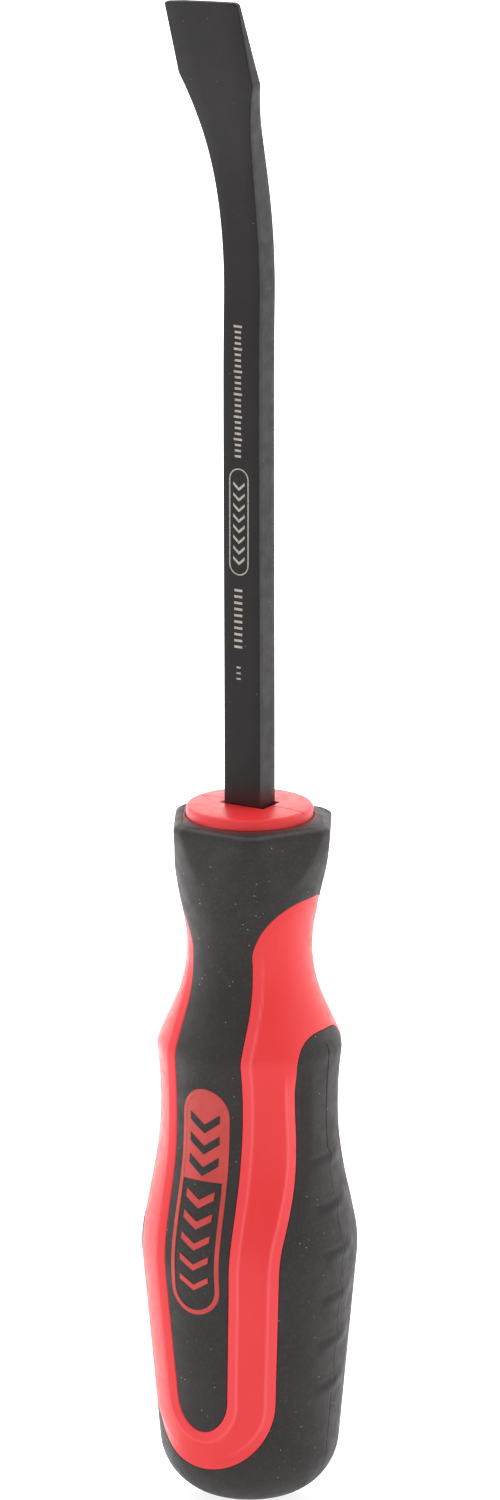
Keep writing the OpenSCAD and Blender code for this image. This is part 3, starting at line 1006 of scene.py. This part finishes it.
def soft_grip_material():
    """Satin black elastomer: cloudy tone, fine moulded grain, dust specks and pale handling marks; painted
    reflection, highlights and shade.
    """
    s = Shader("black_soft_grip")
    cloud = s.cloud(0.12, 4)
    grain = s.noise(2.2, 3, 0.6)
    base = s.mix(cloud, (0.0205, 0.0155, 0.0155), (0.0262, 0.0205, 0.0202))
    base = s.mix(s.ramp(grain, 0.45, 0.75), base, (0.031, 0.0275, 0.027))
    distance = s.cells(1.0)
    speck = s.both(s.ramp(distance, 0.05, 0.1, 1, 0), s.ramp(s.noise(0.35, 1), 0.46, 0.58))
    base = s.mix(speck, base, (0.3, 0.29, 0.27))
    dust = s.both(s.ramp(s.cells(1.6), 0.1, 0.2, 0.5, 0), s.ramp(s.noise(0.35, 2), 0.55, 0.7))
    base = s.mix(dust, base, (0.12, 0.115, 0.11))
    x, y, height = s.split(s.place)
    r = s.math("SQRT", s.math("ADD", s.math("POWER", x, 2.0), s.math("POWER", y, 2.0)))
    # Painted reflection: the collar's top round the disc is tinted red-brown, as if it mirrored the red disc.
    painted_red_reflection = s.both(s.ramp(r, DISC_R, DISC_R + 1.5, 1, 0), s.ramp(height, COLLAR_TOP - 0.5, COLLAR_TOP - 0.3))
    base = s.mix(painted_red_reflection, base, (0.13, 0.022, 0.018))
    # Painted highlight: a lighter line along the top of the collar's rim.
    painted_rim_highlight = s.ramp(height, COLLAR_TOP - 0.15, COLLAR_TOP - 0.02, 0.42, 0)
    painted_rim_highlight = s.both(s.ramp(height, COLLAR_TOP - 0.5, COLLAR_TOP - 0.15), painted_rim_highlight)
    base = s.mix(painted_rim_highlight, base, (0.085, 0.078, 0.076))
    # Painted shade in the hollow below each rib, and a painted highlight along its upper edge.
    base = s.mix(s.both(s.attribute("rib_hollow"), 0.9), base, (0.003, 0.0025, 0.0025))
    base = s.mix(s.both(s.attribute("rib_edge"), 0.55), base, (0.075, 0.068, 0.066))
    s.colour(base)
    s.roughness(s.cloud(0.5, 4, 0.5, 0.62))
    s.set(IOR=1.4)
    s.bump(grain, 0.02, 0.5)
    s.bump(s.noise(7.0, 2), 0.008, 0.5)
    return s.material


def red_plastic_material():
    """Semi-gloss red plastic: faint flow marks, painted highlights on the chamfers and their creases, and
    fine scuffs.
    """
    s = Shader("red_plastic")
    flow = s.ramp(s.noise(0.1, 3, stretch=(1, 1, 0.35)), 0.3, 0.7)
    base = s.mix(flow, (0.79, 0.026, 0.03), (0.83, 0.034, 0.038))
    # Painted highlights: the chamfer strips are lighter, and a lighter line runs along each chamfer's crease.
    base = s.mix(s.both(s.attribute("chamfer"), 0.6), base, (0.86, 0.052, 0.062))
    base = s.mix(s.both(s.attribute("crease"), 0.55), base, (0.98, 0.15, 0.165))
    scuff = s.ramp(s.noise(1.4, 5, 0.65, stretch=(1, 1, 0.5)), 0.6, 0.75, 0, 0.3)
    base = s.mix(scuff, base, (0.86, 0.055, 0.055))
    s.colour(base)
    s.roughness(s.cloud(0.8, 4, 0.3, 0.42))
    s.set(IOR=1.45)
    s.bump(s.noise(0.5, 2), 0.03, 0.4)
    s.bump(s.noise(4.0, 3), 0.006, 0.5)
    return s.material


def badge_material():
    """Darker red satin plastic of the badge."""
    s = Shader("badge_red")
    patch = s.cloud(0.35, 4)
    s.colour(s.mix(patch, (0.5, 0.036, 0.03), (0.57, 0.048, 0.042)))
    s.roughness(s.cloud(1.5, 3, 0.35, 0.5))
    s.bump(s.noise(3.0, 3), 0.01, 0.5)
    return s.material


def steel_material():
    """Satin black oxide on forged steel: forging texture, rubbed patches, fine lengthwise brushing and a
    painted red reflection above the disc.
    """
    s = Shader("blackened_steel")
    brushed = s.noise(5.0, 4, 0.6, stretch=(1, 1, 0.12))
    blotch = s.ramp(s.noise(0.22, 5, 0.6), 0.35, 0.7)
    base = s.mix(blotch, (0.0052, 0.0032, 0.0032), (0.0085, 0.0054, 0.0052))
    # Painted reflection: the bar just above the disc is tinted dark red.
    painted_disc_reflection = s.ramp(s.split(s.place)["Z"], DISC_TOP, DISC_TOP + 4, 0.8, 0)
    base = s.mix(painted_disc_reflection, base, (0.05, 0.004, 0.006))
    base = s.mix(s.ramp(brushed, 0.5, 0.8, 0, 0.4), base, (0.013, 0.0115, 0.0115))
    speck = s.both(s.ramp(s.cells(0.9), 0.04, 0.08, 1, 0), s.ramp(s.noise(0.7, 1), 0.56, 0.62))
    base = s.mix(speck, base, (0.16, 0.15, 0.14))
    s.colour(base)
    s.roughness(s.cloud(0.6, 5, 0.36, 0.5))
    s.set(IOR=1.38)
    s.bump(brushed, 0.012, 0.5)
    s.bump(s.noise(0.9, 3), 0.03, 0.35)
    return s.material


def etch_material():
    """Pale laser marking."""
    s = Shader("pale_etching")
    s.colour(s.mix(s.cloud(3.0, 3), (0.32, 0.29, 0.25), (0.5, 0.46, 0.4)))
    s.roughness(s.cloud(2.0, 2, 0.6, 0.8))
    s.bump(s.noise(6.0, 2), 0.006, 0.5)
    return s.material


# ---- scene

def back_vector(turn, tilt):
    a, e = math.radians(turn), math.radians(tilt)
    return Vector((math.sin(a) * math.cos(e), -math.cos(a) * math.cos(e), math.sin(e)))


def add_camera():
    camera = bpy.data.cameras.new("camera")
    camera.sensor_fit = "VERTICAL"
    camera.sensor_height = SENSOR
    camera.lens = LENS
    camera.clip_end = 20
    eye = add_object("camera", camera)
    back = back_vector(CAMERA_TURN, CAMERA_TILT)
    side = Vector((math.cos(math.radians(CAMERA_TURN)), math.sin(math.radians(CAMERA_TURN)), 0))
    target = Vector((0, 0, CAMERA_HEIGHT)) + side * CAMERA_SIDE
    eye.location = (target + back * CAMERA_AWAY) * MM
    eye.rotation_mode = "QUATERNION"
    eye.rotation_quaternion = (-back).to_track_quat("-Z", "Y")
    bpy.context.scene.camera = eye


# The studio's strength all round and along the horizon, and the floor's glow with half its side in metres.
# Lobes add to them: turn and tilt of the direction, wide and narrow cosine, strength.
WORLD_BASE, WORLD_HORIZON, FLOOR_LIGHT, FLOOR_HALF = 0.64, 1.02, 0.84, 3.0
WORLD_LOBES = [(0, 90, 0.1, 1, 0.3), (CAMERA_TURN - 130, 10, 0.3, 0.95, 1.15),
               (CAMERA_TURN + 125, 10, 0.3, 0.95, 0.92), (CAMERA_TURN + 180, 20, 0.6, 0.98, 0.36)]
FLOOR_LOBES = [(CAMERA_TURN - 138, 0, 0.4, 0.95, 1.4), (CAMERA_TURN + 130, 0, 0.4, 0.95, 0.55)]


def add_world():
    """White studio, lighter from above and from both sides, and white along the horizon."""
    world = bpy.data.worlds.new("studio")
    world.use_nodes = True
    s = Tree(world.node_tree)
    direction = s.node("TexCoord").outputs["Generated"]
    level = s.lobes(direction, WORLD_BASE, WORLD_LOBES)
    rise = s.math("ABSOLUTE", s.split(direction)["Z"])
    level = s.math("MAXIMUM", level, s.ramp(rise, 0.06, 0.14, WORLD_HORIZON, 0))
    background = s.nodes["Background"]
    background.inputs["Color"].default_value = (1, 1, 1, 1)
    s.links.new(level, background.inputs["Strength"])
    bpy.context.scene.world = world
    bpy.context.scene.view_settings.view_transform = "Standard"


def add_floor():
    """Pale floor, lit from below like a light table and a little more to the left."""
    floor = bpy.data.meshes.new("floor")
    h = FLOOR_HALF
    floor.from_pydata([(-h, -h, 0), (h, -h, 0), (h, h, 0), (-h, h, 0)], [], [(0, 1, 2, 3)])
    s = Shader("pale_floor")
    s.set(Base_Color=(0.25, 0.25, 0.25, 1), Roughness=0.9, Emission_Color=(1, 1, 1, 1))
    unit = s.node("VectorMath", operation="NORMALIZE")
    s.links.new(s.place, unit.inputs[0])
    glow = s.lobes(unit.outputs["Vector"], FLOOR_LIGHT, FLOOR_LOBES)
    s.links.new(glow, s.surface.inputs["Emission Strength"])
    floor.materials.append(s.material)
    add_object("floor", floor)


def place(piece, material, slot, *replaced):
    """Gives a piece its material and its body, and hides the CAD nodes that it stands in for; slot is not
    used.
    """
    piece.data.materials.append(material)
    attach(piece, "root")
    if replaced:
        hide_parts(*replaced)


add_camera()
add_world()
add_floor()
soft = soft_grip_material()
place(front_grip(), soft, "black_soft_grip", "front_grip")
place(rear_grip(), soft, "black_soft_grip", "rear_grip")
place(handle_core(), red_plastic_material(), "red_plastic", "handle_core")
place(badge_inlay(), badge_material(), "badge_red", "badge_inlay")
place(badge_strokes(), soft, "black_soft_grip")
place(pry_bar(), steel_material(), "blackened_steel", "pry_bar")
place(etched_marks(), etch_material(), "blackened_steel")
